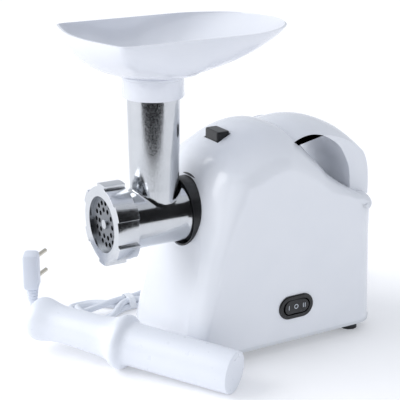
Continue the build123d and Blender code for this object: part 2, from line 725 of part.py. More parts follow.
with BuildPart() as plate_pillars:
    with BuildSketch(facing(PLATE_FRONT_BACK + BEARING_PLATE)):
        with Locations(*pillar_spots):
            Circle(PILLAR_RADIUS)
    extrude(amount=PLATE_REAR_BACK - PLATE_FRONT_BACK - BEARING_PLATE)
keep(plate_pillars.part, "plate_pillars")

with BuildPart() as bushes:
    for row, back in (("front", PLATE_FRONT_BACK), ("rear", PLATE_REAR_BACK)):
        for across, up, shaft in bush_seats[row]:
            with BuildSketch(facing(back, across, up)):
                Circle(shaft + BUSH_WALL)
                Circle(shaft + RUNNING_GAP, mode=Mode.SUBTRACT)
            extrude(amount=BEARING_PLATE)
    with BuildSketch(facing(BRACKET_BACK, up=-MOTOR_DROP)):
        Circle(SHAFT_RADIUS + BUSH_WALL)
        Circle(SHAFT_RADIUS + RUNNING_GAP, mode=Mode.SUBTRACT)
    extrude(amount=BRACKET_THICKNESS)
keep(bushes.part, "bearing_bushes")

# Motor: stator core with its coils and bolts, rotor, fan, commutator, brushes, rear bracket
bolt_spots = [(a * BOLT_ACROSS, u * BOLT_UP) for a in (-1, 1) for u in (-1, 1)]
bore_radius = ARMATURE_RADIUS + AIR_GAP
with BuildPart() as stator_core:
    with BuildSketch(facing(CORE_BACK, up=-MOTOR_DROP)):
        Rectangle(2 * CORE_HALF_WIDTH, 2 * CORE_HALF_HEIGHT)
        Circle(bore_radius, mode=Mode.SUBTRACT)
        for sign in (-1, 1):
            with Locations((0, sign * (bore_radius - 1 + COIL_THICKNESS / 2))):
                Rectangle(26, COIL_THICKNESS, mode=Mode.SUBTRACT)
        with Locations(*bolt_spots):
            Circle(BOLT_RADIUS, mode=Mode.SUBTRACT)
    extrude(amount=CORE_LENGTH)
keep(stator_core.part, "stator_core")

with BuildPart() as field_coils:
    with BuildSketch(facing(CORE_BACK - COIL_OVERHANG, up=-MOTOR_DROP)):
        for sign in (-1, 1):
            with Locations((0, sign * (bore_radius - 1 + COIL_THICKNESS / 2))):
                Rectangle(26, COIL_THICKNESS)
        Circle(bore_radius, mode=Mode.SUBTRACT)
    extrude(amount=CORE_LENGTH + 2 * COIL_OVERHANG)
keep(field_coils.part, "field_coils")

motor_bolt_end = BRACKET_BACK + BRACKET_THICKNESS
with BuildPart() as motor_bolts:
    with BuildSketch(facing(PLATE_REAR_BACK + BEARING_PLATE, up=-MOTOR_DROP)):
        with Locations(*bolt_spots):
            Circle(BOLT_RADIUS)
    extrude(amount=motor_bolt_end - PLATE_REAR_BACK - BEARING_PLATE)
    with BuildSketch(facing(motor_bolt_end, up=-MOTOR_DROP)):
        with Locations(*bolt_spots):
            RegularPolygon(SCREW_HEAD_RADIUS, 6)
    extrude(amount=SCREW_HEAD_HEIGHT)
keep(motor_bolts.part, "motor_bolts")

with BuildPart() as rotor_shaft:
    with BuildSketch(facing(FAST_BACK + FAST_WIDTH + 1, up=-MOTOR_DROP)):
        Circle(SHAFT_RADIUS)
    extrude(amount=BRACKET_BACK + BRACKET_THICKNESS + 2 - FAST_BACK - FAST_WIDTH - 1)
keep(rotor_shaft.part, "rotor_shaft")

with BuildPart() as armature:
    with BuildSketch(facing(CORE_BACK + 1, up=-MOTOR_DROP)):
        Circle(ARMATURE_RADIUS)
        with PolarLocations(ARMATURE_RADIUS, 12):
            Rectangle(6, 2, mode=Mode.SUBTRACT)
        Circle(SHAFT_RADIUS, mode=Mode.SUBTRACT)
    extrude(amount=CORE_LENGTH - 2)
keep(armature.part, "armature")

with BuildPart() as cooling_fan:
    with BuildSketch(facing(FAN_BACK, up=-MOTOR_DROP)):
        Circle(FAN_RADIUS)
        Circle(SHAFT_RADIUS, mode=Mode.SUBTRACT)
    extrude(amount=2)
    with BuildSketch(facing(FAN_BACK + 2, up=-MOTOR_DROP)):
        with PolarLocations((FAN_RADIUS + SHAFT_RADIUS) / 2 + 2, FAN_BLADES):
            Rectangle(18, 1.6, rotation=20)
        Circle(SHAFT_RADIUS + 3)
        Circle(SHAFT_RADIUS, mode=Mode.SUBTRACT)
    extrude(amount=FAN_DEPTH - 2)
keep(cooling_fan.part, "cooling_fan")

with BuildPart() as commutator:
    with BuildSketch(facing(COMMUTATOR_BACK, up=-MOTOR_DROP)):
        Circle(COMMUTATOR_RADIUS)
        Circle(SHAFT_RADIUS, mode=Mode.SUBTRACT)
    extrude(amount=COMMUTATOR_LENGTH)
keep(commutator.part, "commutator")

with BuildPart() as brushes:
    with BuildSketch(facing(COMMUTATOR_BACK + 2, up=-MOTOR_DROP)):
        for sign in (-1, 1):
            with Locations((sign * (COMMUTATOR_RADIUS + LOOSE_GAP + BRUSH_LENGTH / 2), 0)):
                Rectangle(BRUSH_LENGTH, BRUSH_SIZE)
    extrude(amount=COMMUTATOR_LENGTH - 2)
keep(brushes.part, "brush_holders")

with BuildPart() as motor_bracket:
    with BuildSketch(facing(BRACKET_BACK, up=-MOTOR_DROP)):
        Rectangle(2 * CORE_HALF_WIDTH, 2 * CORE_HALF_HEIGHT)
        Circle(SHAFT_RADIUS + BUSH_WALL, mode=Mode.SUBTRACT)
        with Locations(*bolt_spots):
            Circle(BOLT_RADIUS, mode=Mode.SUBTRACT)
        with PolarLocations(19, 4, start_angle=45):
            Circle(6, mode=Mode.SUBTRACT)
    extrude(amount=BRACKET_THICKNESS)
    with BuildSketch(facing(COMMUTATOR_BACK + COMMUTATOR_LENGTH, up=-MOTOR_DROP)):
        for sign in (-1, 1):
            with Locations((sign * (COMMUTATOR_RADIUS + LOOSE_GAP + BRUSH_LENGTH - 3), 0)):
                Rectangle(6, BRUSH_SIZE)
    extrude(amount=BRACKET_BACK - COMMUTATOR_BACK - COMMUTATOR_LENGTH)
keep(motor_bracket.part, "motor_bracket")

# Release button with its stem, the latch on the stem, and the spring under it
with BuildPart() as button:
    with BuildSketch(level(BUTTON_BASE_UP, back=BUTTON_BACK)):
        RectangleRounded(BUTTON_ACROSS, BUTTON_DEPTH, 2.5)
    extrude(amount=BUTTON_TOP_UP - BUTTON_BASE_UP)
    fillet(button.faces().sort_by(Axis.Z)[-1].edges(), 1.5)
    with BuildSketch(level(LATCH_ARM_UP + 3, back=BUTTON_BACK)):
        Rectangle(STEM_SIZE, STEM_SIZE)
    extrude(amount=BUTTON_BASE_UP - LATCH_ARM_UP - 3)
keep(button.part, "release_button")

with BuildPart() as latch:
    with BuildSketch(level(LATCH_ARM_UP)):
        with Locations((0, (LATCH_BACK + BUTTON_BACK + STEM_SIZE / 2) / 2)):
            Rectangle(STEM_SIZE, BUTTON_BACK + STEM_SIZE / 2 - LATCH_BACK)
    extrude(amount=3)
    with BuildSketch(level(LATCH_UP + LOOSE_GAP + 4)):
        with Locations((0, LATCH_BACK + LATCH_THICKNESS / 2)):
            Rectangle(STEM_SIZE, LATCH_THICKNESS)
    extrude(amount=LATCH_ARM_UP - LATCH_UP - LOOSE_GAP - 4)
keep(latch.part, "head_latch")

with BuildPart() as spring_seat:
    with BuildSketch(level(BUTTON_BASE_UP - 7, back=BUTTON_BACK + 1)):
        with Locations((0, 0)):
            Rectangle(BUTTON_ACROSS + 10, BUTTON_DEPTH - 1)
            Rectangle(STEM_SIZE + 2 * LOOSE_GAP + 3, STEM_SIZE + 2 * LOOSE_GAP + 2, mode=Mode.SUBTRACT)
    extrude(amount=1.6)
    add(hollow_body, mode=Mode.INTERSECT)
keep(spring_seat.part, "spring_seat")

with BuildPart() as button_spring:
    for sign in (-1, 1):
        with BuildSketch(level(BUTTON_BASE_UP - 5.4, across=sign * 8, back=BUTTON_BACK)):
            Circle(2)
            Circle(1.2, mode=Mode.SUBTRACT)
        extrude(amount=5.4)
keep(button_spring.part, "button_springs")

# Switch: bezel in the side wall, rocker on an upright pivot, body behind
bezel_plane = side(BODY_HALF_WIDTH - WALL, switch_up)
with BuildPart() as bezel:
    with BuildSketch(bezel_plane):
        with Locations((SWITCH_BACK, 0)):
            SlotOverall(BEZEL_LENGTH - 4, BEZEL_HEIGHT - 4)
    extrude(amount=WALL)
    with BuildSketch(side(BODY_HALF_WIDTH, switch_up)):
        with Locations((SWITCH_BACK, 0)):
            SlotOverall(BEZEL_LENGTH, BEZEL_HEIGHT)
    extrude(amount=BEZEL_PROUD)
    with BuildSketch(bezel_plane):
        with Locations((SWITCH_BACK, 0)):
            Rectangle(ROCKER_LENGTH + ROCKER_SWING_GAP, ROCKER_HEIGHT + 1)
    extrude(amount=WALL + BEZEL_PROUD, mode=Mode.SUBTRACT)
keep(bezel.part, "switch_bezel")

rocker_pivot = BODY_HALF_WIDTH - 6.0
with BuildPart() as rocker:
    with BuildSketch(level(switch_up - ROCKER_HEIGHT / 2)):
        with BuildLine():
            base = Line((rocker_pivot - 3, SWITCH_BACK + 6), (rocker_pivot - 3, SWITCH_BACK - 6))
            low = Line(base @ 1, (BODY_HALF_WIDTH + ROCKER_PROUD, SWITCH_BACK - ROCKER_LENGTH / 2))
            dish = ThreePointArc(
                low @ 1, (BODY_HALF_WIDTH + ROCKER_PROUD - 1.6, SWITCH_BACK),
                (BODY_HALF_WIDTH + ROCKER_PROUD, SWITCH_BACK + ROCKER_LENGTH / 2),
            )
            Line(dish @ 1, base @ 0)
        make_face()
    extrude(amount=ROCKER_HEIGHT)
    with BuildSketch(level(switch_up - ROCKER_HEIGHT / 2, rocker_pivot, SWITCH_BACK)):
        Circle(1.5)
    extrude(amount=ROCKER_HEIGHT, mode=Mode.SUBTRACT)
keep(rocker.part, "switch_rocker")

with BuildPart() as switch_body:
    body_inner = BODY_HALF_WIDTH - WALL - SWITCH_BODY_DEPTH
    with BuildSketch(side(body_inner, switch_up)):
        with Locations((SWITCH_BACK, 0)):
            Rectangle(ROCKER_LENGTH + 5, ROCKER_HEIGHT + 4)
    extrude(amount=SWITCH_BODY_DEPTH)
    with BuildSketch(side(body_inner + 4, switch_up)):
        with Locations((SWITCH_BACK, 0)):
            Rectangle(ROCKER_LENGTH + ROCKER_SWING_GAP, ROCKER_HEIGHT + 1)
    extrude(amount=SWITCH_BODY_DEPTH, mode=Mode.SUBTRACT)
    with BuildSketch(level(switch_up - ROCKER_HEIGHT / 2 - 0.5, rocker_pivot, SWITCH_BACK)):
        Circle(1.5 - RUNNING_GAP)
    extrude(amount=ROCKER_HEIGHT + 1)
keep(switch_body.part, "switch_body")

# Screws that hold the base cover to the two shells, heads below
with BuildPart() as base_screws:
    with BuildSketch(level(BODY_BOTTOM - SCREW_HEAD_HEIGHT)):
        with Locations(*[(a, b) for a in (-30, 30) for b in (110, 200)]):
            Circle(SCREW_HEAD_RADIUS)
    extrude(amount=SCREW_HEAD_HEIGHT)
keep(base_screws.part, "base_screws")

# Mains lead
PLUG_AT = (AXIS_X + PLUG_X, FRONT_Y + PLUG_BACK)


def lead_point(x, back, height):
    """A point of the lead's route, from the drive axis, the nut's face and the table."""
    return Vector(AXIS_X + x, FRONT_Y + back, height)


relief_end = BODY_REAR + RELIEF_LENGTH
lying = CORD_RADIUS + LYING_GAP
lead_route = [
    (CORD_EXIT_X, relief_end, CORD_HEIGHT), (CORD_EXIT_X, relief_end + 18, CORD_HEIGHT),
    (CORD_EXIT_X - 9, relief_end + 33, lying + 12.4), (CORD_EXIT_X - 24.6, relief_end + 42, lying + 6.9),
    (HANK_X + 16.4, relief_end + 42.5, lying + 1.9), (HANK_X + 1, relief_end + 33, lying),
    (HANK_X - 8, relief_end + 17, lying), (HANK_X - 6.5, relief_end - 14, lying + 0.1),
    (HANK_X, relief_end - 59, lying + 2.5), (HANK_X, HANK_REAR, lying + 2.5),
]
tail_route = [
    (HANK_X, HANK_FRONT, lying + 0.2), (HANK_X + 0.8, HANK_FRONT - 12.5, lying),
    (PLUG_X - 9.46, PLUG_BACK + 16.47, lying + 0.1), (PLUG_X - 3.47, PLUG_BACK + 6.04, lying + 7.1),
    (PLUG_X, PLUG_BACK, lying + 19.1), (PLUG_X, PLUG_BACK, PLUG_FOOT - PLUG_RELIEF),
]


def cord_tube(name, route):
    """A tube along straight runs joined by the largest arcs that its runs allow."""
    points = [lead_point(*point) for point in route]
    runs = [b - a for a, b in zip(points, points[1:])]
    radii = []
    for before, after in zip(runs, runs[1:]):
        turn = math.radians(before.get_angle(after))
        radii.append(0.45 * min(before.length, after.length) / math.tan(turn / 2))
    with BuildPart() as tube:
        with BuildLine() as path:
            FilletPolyline(*points, radius=radii)
        with BuildSketch(Plane(path.wire() @ 0, z_dir=path.wire() % 0)):
            Circle(CORD_RADIUS)
        sweep(path=path.wire())
    section = math.pi * CORD_RADIUS**2
    run_length = path.wire().length
    print(name, "radii", [round(r) for r in radii], "length", round(run_length))
    print(name, "volume over section times length", round(tube.part.volume / section / run_length, 3))
    keep(tube.part, name)


cord_tube("mains_lead", lead_route)
cord_tube("lead_tail", tail_route)

with BuildPart() as relief:
    with BuildSketch(facing(BODY_REAR - 4, CORD_EXIT_X, CORD_HEIGHT - AXIS_Z)):
        Circle(CORD_RADIUS + 2)
    with BuildSketch(facing(relief_end, CORD_EXIT_X, CORD_HEIGHT - AXIS_Z)):
        Circle(CORD_RADIUS + 0.6)
    loft()
keep(relief.part, "lead_relief")

# Hank: the closed outer shape of the folded lead, drawn in where the tie holds it
with BuildPart() as hank:
    with BuildSketch(level(-AXIS_Z, across=HANK_X)):
        with BuildLine():
            near = Spline(
                (-14, HANK_FRONT), (-HANK_END_RADIUS, HANK_FRONT + 20), (-HANK_WAIST, HANK_WAIST_BACK),
                (-HANK_END_RADIUS, HANK_REAR - 24), (-14, HANK_REAR),
            )
            rear_face = Line(near @ 1, (14, HANK_REAR))
            far = Spline(
                rear_face @ 1, (HANK_END_RADIUS, HANK_REAR - 24), (HANK_WAIST, HANK_WAIST_BACK),
                (HANK_END_RADIUS, HANK_FRONT + 20), (14, HANK_FRONT),
            )
            Line(far @ 1, near @ 0)
        make_face()
    extrude(amount=HANK_HEIGHT)
keep(hank.part, "lead_hank")

with BuildPart() as tie:
    with BuildSketch(facing(HANK_WAIST_BACK - TIE_WIDTH / 2, HANK_X, HANK_HEIGHT / 2 - AXIS_Z)):
        with Locations((0, TIE_WALL / 2)):
            Rectangle(2 * (HANK_WAIST + 1 + TIE_WALL), HANK_HEIGHT + TIE_WALL)
    extrude(amount=TIE_WIDTH)
    add(hank.part, mode=Mode.SUBTRACT)
keep(tie.part, "hank_tie")

# Plug: stands on its lead; pins point away from the machine's side
plug_plane = Plane(
    origin=(*PLUG_AT, PLUG_FOOT),
    x_dir=(math.cos(math.radians(PLUG_TURN)), math.sin(math.radians(PLUG_TURN)), 0), z_dir=(0, 0, 1),
)
with BuildPart() as plug:
    with BuildSketch(plug_plane):
        RectangleRounded(PLUG_DEPTH, PLUG_WIDTH, 4)
    extrude(amount=PLUG_HEIGHT)
    with BuildSketch(plug_plane.offset(-PLUG_RELIEF)):
        Circle(CORD_RADIUS + 0.6)
    with BuildSketch(plug_plane):
        Circle(CORD_RADIUS + 2)
    loft()
keep(plug.part, "plug")

pin_plane = Plane(
    origin=plug_plane.origin + Vector(0, 0, PLUG_HEIGHT / 2) + plug_plane.x_dir * (PLUG_DEPTH / 2),
    x_dir=(0, 0, 1), z_dir=plug_plane.x_dir,
)
with BuildPart() as plug_pins:
    with BuildSketch(pin_plane):
        with GridLocations(PLUG_PIN_SPACING, 1, 2, 1):
            Circle(PLUG_PIN_RADIUS)
    extrude(amount=PLUG_PIN_LENGTH)
keep(plug_pins.part, "plug_pins")
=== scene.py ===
# %% [markdown]
# # An electric meat grinder, dressed for a picture
# The CAD model already has every part of the machine at its real size and place. This lesson gives each
# visible part the shape that moulding, casting or turning really leaves, and a finish that takes light
# as the real material does. Places are written in millimetres across, behind and above the middle of
# the ring nut's face, and one helper turns them into the frame's metres.

# %% Load the frame
import json
import math

import bpy
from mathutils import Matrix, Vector


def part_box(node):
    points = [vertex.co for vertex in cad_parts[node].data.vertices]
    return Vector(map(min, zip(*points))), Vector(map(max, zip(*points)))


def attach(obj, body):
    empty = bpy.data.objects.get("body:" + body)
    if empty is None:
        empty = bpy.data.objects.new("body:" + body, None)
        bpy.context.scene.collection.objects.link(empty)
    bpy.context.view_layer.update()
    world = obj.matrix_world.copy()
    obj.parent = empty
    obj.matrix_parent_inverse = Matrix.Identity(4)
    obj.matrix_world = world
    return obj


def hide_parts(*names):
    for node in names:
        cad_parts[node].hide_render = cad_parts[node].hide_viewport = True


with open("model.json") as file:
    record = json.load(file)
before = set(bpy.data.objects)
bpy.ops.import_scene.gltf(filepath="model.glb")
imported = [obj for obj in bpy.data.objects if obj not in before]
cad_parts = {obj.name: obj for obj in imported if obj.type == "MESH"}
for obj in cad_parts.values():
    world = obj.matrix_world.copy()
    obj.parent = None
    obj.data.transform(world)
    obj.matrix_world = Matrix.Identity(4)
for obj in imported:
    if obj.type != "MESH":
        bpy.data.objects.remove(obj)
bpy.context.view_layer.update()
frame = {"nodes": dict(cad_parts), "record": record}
joints = {joint["name"]: joint for joint in frame["record"]["behaviour"]["joints"]}
AXIS_X, _, AXIS_Z = joints["head_turn"]["pos_m"]
FRONT_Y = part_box("ring_nut")[0].y
print("drive axis at", round(AXIS_X, 4), round(AXIS_Z, 4), "ring nut's face at", round(FRONT_Y, 4))


# %% Places and lengths
def place(across, back, up):
    """A point in the frame's metres, from millimetres across, behind and above the nut's face."""
    return Vector((AXIS_X + across / 1000, FRONT_Y + back / 1000, AXIS_Z + up / 1000))


def mm(length):
    """Millimetres as metres."""
    return length / 1000


TABLE_UP = -AXIS_Z * 1000
ALONG = Vector((0, 1, 0))
UPWARDS = Vector((0, 0, 1))
print("the table is", round(-TABLE_UP), "mm below the drive axis")

# %% [markdown]
# ## Camera
# A long lens from beside the front corner keeps upright edges nearly parallel, as in a catalogue
# picture. The camera has no shift and no blur.

# %% Camera
camera_data = bpy.data.cameras.new("camera")
camera_data.lens = 105
camera_data.sensor_width = 36
camera = bpy.data.objects.new("camera", camera_data)
bpy.context.collection.objects.link(camera)
camera.location = place(849, -394, 325)
looking = Vector((-0.8236, 0.4755, -0.309))
camera.rotation_euler = looking.to_track_quat("-Z", "Y").to_euler()
bpy.context.scene.camera = camera
print("camera is", round((camera.location - place(0, 0, 0)).length, 2), "m from the nut")

# %% [markdown]
# ## The mains lead
# The lead is 6 mm PVC cable, one length of one thing, so it is one spline. It leaves the rear through a
# tapered relief, bends round behind the machine and is folded into a hank of five strands with a tie.
# Its tail comes out of the hank's front, lies on the table and turns up into the plug. The control
# points before and after the hank follow the CAD route, and the folds are worked out in a loop.

# %% Route of the lead: points across, behind and above the table
HANK_X, TIE_BACK, RELIEF_END, LYING = -99, 73, 275, 3.1
HUMP, LYING_IN_TIE, BESIDE_TIE = 9.4, 3.6, 10
lead_in = [
    (-40, RELIEF_END, 19), (-40, RELIEF_END + 18, 19), (-49, RELIEF_END + 33, 15.5),
    (-64.6, RELIEF_END + 42, 10), (-82.6, RELIEF_END + 42.5, 5), (-98, RELIEF_END + 33, LYING),
    (-107, RELIEF_END + 17, LYING), (-105.5, RELIEF_END - 14, LYING), (HANK_X, RELIEF_END - 59, LYING),
]
tail = [
    (-99, 12, 3.3), (-98.2, -0.5, LYING), (-90.06, -17.13, 3.2), (-84.07, -27.56, 10.2),
    (-80.6, -33.6, 22.2), (-80.6, -33.6, 36),
]


def fold(middle, towards, reach, first_side):
    """Control points round one fold of the hank, rising over the strand in its middle."""
    points = []
    for step in range(7):
        turn = math.radians(-20 + 220 * step / 6)
        across = first_side * reach * math.cos(turn)
        height = LYING + (HUMP - LYING) * (0, 0, 0.55, 1, 1, 0.55, 0, 0)[step + (step > 3)]
        points.append((HANK_X + across, middle + towards * reach * math.sin(turn), height))
    return points


def tied(across, height, going):
    """Two control points that take a strand through the tie."""
    x = HANK_X + across
    return [(x, TIE_BACK - going * BESIDE_TIE, height), (x, TIE_BACK + going * BESIDE_TIE, height)]


hank = [(HANK_X, 150, LYING), (HANK_X + 0.4, 112, LYING)]
hank += tied(0, LYING_IN_TIE, -1) + fold(38, -1, 19.5, -1)
hank += tied(6.3, LYING_IN_TIE, 1) + [(HANK_X + 14, 104, LYING)] + fold(138, 1, 19.5, 1)
hank += [(HANK_X - 14, 104, LYING)] + tied(-6.3, LYING_IN_TIE, -1) + fold(36, -1, 24, -1)
hank += tied(3.3, 9.1, 1) + [(HANK_X + 20, 108, 6)] + fold(140, 1, 24, 1)
hank += [(HANK_X - 20, 108, 6)] + tied(-3.3, 9.1, -1) + [(HANK_X + 1, 45, 9), (HANK_X, 28, 6)]

# %% The lead as one curve
lead_data = bpy.data.curves.new("power_lead", "CURVE")
lead_data.dimensions = "3D"
spline = lead_data.splines.new("NURBS")
route = lead_in + hank + tail
spline.points.add(len(route) - 1)
for spot, (across, back, height) in zip(spline.points, route):
    spot.co = (*place(across, back, height + TABLE_UP), 1)
spline.order_u = 3
spline.use_endpoint_u = True
lead_data.resolution_u = 8
lead_data.bevel_resolution = 5
lead_data.use_fill_caps = True
bare = bpy.data.objects.new("bare", lead_data)
lead_line = [vertex.co.copy() for vertex in bpy.data.meshes.new_from_object(bare).vertices]
bpy.data.objects.remove(bare)
lead_data.bevel_depth = mm(3)
lead = bpy.data.objects.new("power_lead", lead_data)
bpy.context.collection.objects.link(lead)

# %% [markdown]
# ## Floor and light
# White plastic on a white floor needs quiet light, or its shapes burn out. Before any lamp is placed,
# two helpers are made: one turns screen colours into light, and one adds a node.

# %% Colour and node helpers
def linear(hex_colour):
    """A screen colour such as #f4f6f8 as linear red, green, blue and alpha."""
    parts = [int(hex_colour[start:start + 2], 16) / 255 for start in (1, 3, 5)]
    return [part / 12.92 if part <= 0.04045 else ((part + 0.055) / 1.055) ** 2.4 for part in parts] + [1]


def add_node(tree, kind, settings={}, values={}, links={}):
    """Adds one node, sets its properties and its inputs' values, and links its inputs."""
    node = tree.nodes.new(kind)
    for key, value in settings.items():
        setattr(node, key, value)
    for key, value in values.items():
        node.inputs[key].default_value = value
    for key, output in links.items():
        tree.links.new(output, node.inputs[key])
    return node


# %% [markdown]
# ## How a finish is built
# Every finish here has the same three things that make plastic, rubber and metal look real: a colour
# that drifts slightly, a gloss that handling has changed in places, and the small relief that the mould,
# the wheel or the tool left. Only their sizes differ, so one function takes those sizes in millimetres.

# %% One finish
def finish(
    name, colours, gloss, grain_mm, relief_mm, metallic=0.0, stretch=(1, 1, 1), cloud_mm=30, **sockets,
):
    """A material: two close colours, a range of roughness, and a relief of a real size and depth."""
    material = bpy.data.materials.new(name)
    material.use_nodes = True
    tree = material.node_tree
    shader = tree.nodes["Principled BSDF"]
    shader.inputs["Metallic"].default_value = metallic
    for key, value in sockets.items():
        shader.inputs[key.replace("_", " ")].default_value = value
    where = add_node(tree, "ShaderNodeTexCoord").outputs["Object"]
    stretched = add_node(
        tree, "ShaderNodeMapping", values={"Scale": stretch}, links={"Vector": where},
    ).outputs["Vector"]
    fine = add_node(
        tree, "ShaderNodeTexNoise",
        values={"Scale": 1000 / grain_mm, "Detail": 3.0}, links={"Vector": stretched},
    ).outputs["Fac"]
    cloud = add_node(
        tree, "ShaderNodeTexNoise", values={"Scale": 1000 / cloud_mm, "Detail": 2.0}, links={"Vector": where},
    ).outputs["Fac"]
    mix = add_node(tree, "ShaderNodeMix", {"data_type": "RGBA"}, links={"Factor": cloud})
    mix.inputs[6].default_value, mix.inputs[7].default_value = (linear(colour) for colour in colours)
    wear = add_node(
        tree, "ShaderNodeMapRange",
        values={"From Min": 0.3, "From Max": 0.7, "To Min": gloss[0], "To Max": gloss[1]},
        links={"Value": fine},
    )
    bump = add_node(
        tree, "ShaderNodeBump", values={"Strength": relief_mm[1], "Distance": mm(relief_mm[0])},
        links={"Height": fine},
    )
    tree.links.new(mix.outputs[2], shader.inputs["Base Color"])
    tree.links.new(wear.outputs["Result"], shader.inputs["Roughness"])
    tree.links.new(bump.outputs["Normal"], shader.inputs["Normal"])
    return material


# %% White plastics
# Casing: ABS from a polished mould. Bright, with slow waves that bend long reflections a little.
casing_abs = finish(
    "glossy_white_abs", ("#eceef3", "#e6e9ef"), (0.16, 0.25), 16, (0.25, 0.05), IOR=1.53,
    Coat_Weight=0.2, Coat_Roughness=0.05,
)
# Tray: the same ABS from a finer polished mould, so sharper reflections.
tray_abs = finish(
    "polished_tray_abs", ("#e9ebf1", "#e3e6ee"), (0.12, 0.20), 18, (0.2, 0.05), IOR=1.53,
    Coat_Weight=0.2, Coat_Roughness=0.05,
)
# Pusher: thicker moulding with a softer, satin face.
pusher_abs = finish(
    "satin_pusher_abs", ("#e9ecf3", "#e3e7ef"), (0.27, 0.38), 6, (0.08, 0.08), IOR=1.5,
)
# Base: polypropylene with a spark-eroded texture of about 0.8 mm, matt to the eye.
base_pp = finish("textured_white_pp", ("#dfe2e6", "#d4d8dd"), (0.48, 0.62), 0.8, (0.05, 0.3), IOR=1.49)
# Lead and plug: soft PVC, slightly waxy, with the faint ripple of extrusion.
lead_pvc = finish("soft_white_pvc", ("#e3e7ee", "#dbe0e9"), (0.33, 0.45), 3, (0.06, 0.15), IOR=1.52)
plug_pvc = finish("moulded_plug_pvc", ("#dfe3ec", "#d5dae5"), (0.36, 0.48), 1.5, (0.05, 0.2), IOR=1.52)
tie_film = finish("clear_tie_film", ("#f0f2f6", "#e4e8ee"), (0.08, 0.2), 4, (0.1, 0.2), IOR=1.49)
gear_acetal = finish("white_acetal", ("#e6e4da", "#dad7cb"), (0.35, 0.45), 1.5, (0.02, 0.2), IOR=1.48)

# %% Dark plastics and rubber
# Black ABS is satin on worked parts and polished on the switch. Rubber is matt with a coarse grain.
black_abs = finish("satin_black_abs", ("#17181a", "#1e1f22"), (0.30, 0.42), 0.8, (0.02, 0.25), IOR=1.53)
switch_black = finish("polished_black_abs", ("#101114", "#17181b"), (0.14, 0.24), 2, (0.01, 0.2), IOR=1.53)
foot_rubber = finish("moulded_rubber", ("#26272a", "#303135"), (0.66, 0.8), 0.9, (0.05, 0.4), IOR=1.52)
brush_phenolic = finish("brown_phenolic", ("#4a3424", "#3b291c"), (0.4, 0.5), 1, (0.03, 0.2), IOR=1.6)
mark_ink = finish("pale_switch_ink", ("#c4c9d0", "#b8bec6"), (0.45, 0.55), 0.8, (0.01, 0.1), IOR=1.5)

# %% Metals
# The head is die cast, then turned and polished: bright, with fine rings round the barrel. The real
# lines are about 0.1 mm apart and are drawn five to ten times coarser so that they show.
head_aluminium = finish(
    "polished_cast_aluminium", ("#d3d5d8", "#c6c9cd"), (0.08, 0.20), 0.9, (0.012, 0.35),
    metallic=1.0, stretch=(0.06, 1, 0.06), cloud_mm=14,
)
tube_aluminium = finish(
    "fine_cast_aluminium", ("#d3d5d8", "#c3c6ca"), (0.10, 0.24), 1.3, (0.03, 0.35),
    metallic=1.0, cloud_mm=14,
)
nut_aluminium = finish(
    "machined_nut_aluminium", ("#d9dbde", "#cbced2"), (0.12, 0.24), 1.6, (0.02, 0.25),
    metallic=1.0, cloud_mm=12,
)
plate_steel = finish(
    "ground_plate_steel", ("#8b8e92", "#787b80"), (0.28, 0.42), 0.8, (0.02, 0.3),
    metallic=1.0, stretch=(1, 1, 0.3), cloud_mm=10,
)
shaft_steel = finish(
    "turned_shaft_steel", ("#a9abae", "#999c9f"), (0.2, 0.34), 0.9, (0.02, 0.3),
    metallic=1.0, stretch=(0.1, 1, 0.1),
)
bush_bronze = finish("sintered_bronze", ("#a8814f", "#8f6b3f"), (0.4, 0.5), 0.6, (0.02, 0.3), metallic=1.0)
core_steel = finish(
    "stacked_lamination_steel", ("#6b6e72", "#55585c"), (0.35, 0.5), 0.6, (0.1, 0.5),
    metallic=1.0, stretch=(0.05, 2, 0.05),
)
winding_copper = finish(
    "enamelled_copper", ("#b5673a", "#93502b"), (0.22, 0.36), 0.8, (0.2, 0.5),
    metallic=1.0, stretch=(2, 0.1, 2),
)
pin_nickel = finish("nickel_plated_brass", ("#cfcabd", "#c2bdb0"), (0.1, 0.2), 1, (0.01, 0.2), metallic=1.0)
floor_paint = finish(
    "pale_painted_board", ("#f6f6f7", "#f4f4f6"), (0.6, 0.7), 5, (0.02, 0.05), IOR=1.45,
    Emission_Color=linear("#ffffff"), Emission_Strength=0.16,
)
print(len(bpy.data.materials), "finishes")

# %% [markdown]
# ## CAD parts that keep their shape
# Gears, shafts, plates and the motor are right as they come, and most are hidden in the casing. They
# only need their real finish.

# %% Finishes of the carried-over parts
for material, names in (
    (base_pp, "base_cover"),
    (foot_rubber, "rubber_feet"),
    (black_abs, "head_socket head_latch switch_body spring_seat release_button"),
    (plate_steel, "hole_plate cutting_knife"),
    (tube_aluminium, "feed_worm"),
    (gear_acetal, "worm_washer output_gear lay_pinion lay_gear cooling_fan"),
    (bush_bronze, "bearing_bushes"),
    (core_steel, "stator_core armature"),
    (winding_copper, "field_coils commutator"),
    (brush_phenolic, "brush_holders"),
    (pin_nickel, "plug_pins"),
    (shaft_steel, "output_spindle lay_shaft rotor_shaft motor_pinion plate_pillars motor_bolts base_screws"),
    (shaft_steel, "button_springs front_bearing_plate rear_bearing_plate motor_bracket"),
):
    for name in names.split():
        data = frame["nodes"][name].data
        data.materials.clear()
        data.materials.append(material)
        print(name, "is", material.name)


# %% [markdown]
# ## Small helpers for modelling
# Blender's tools act on what is selected, and the CAD parts are still selected after loading. So each
# helper first deselects everything. A finished object sits at the origin with its place in its mesh.

# %% Helpers
def select_only(piece):
    """Deselects everything, then selects and activates one piece."""
    bpy.ops.object.select_all(action="DESELECT")
    piece.select_set(True)
    bpy.context.view_layer.objects.active = piece


def settle(piece):
    """Puts the object's place, turn and scale into its mesh."""
    select_only(piece)
    bpy.ops.object.transform_apply(location=True, rotation=True, scale=True)


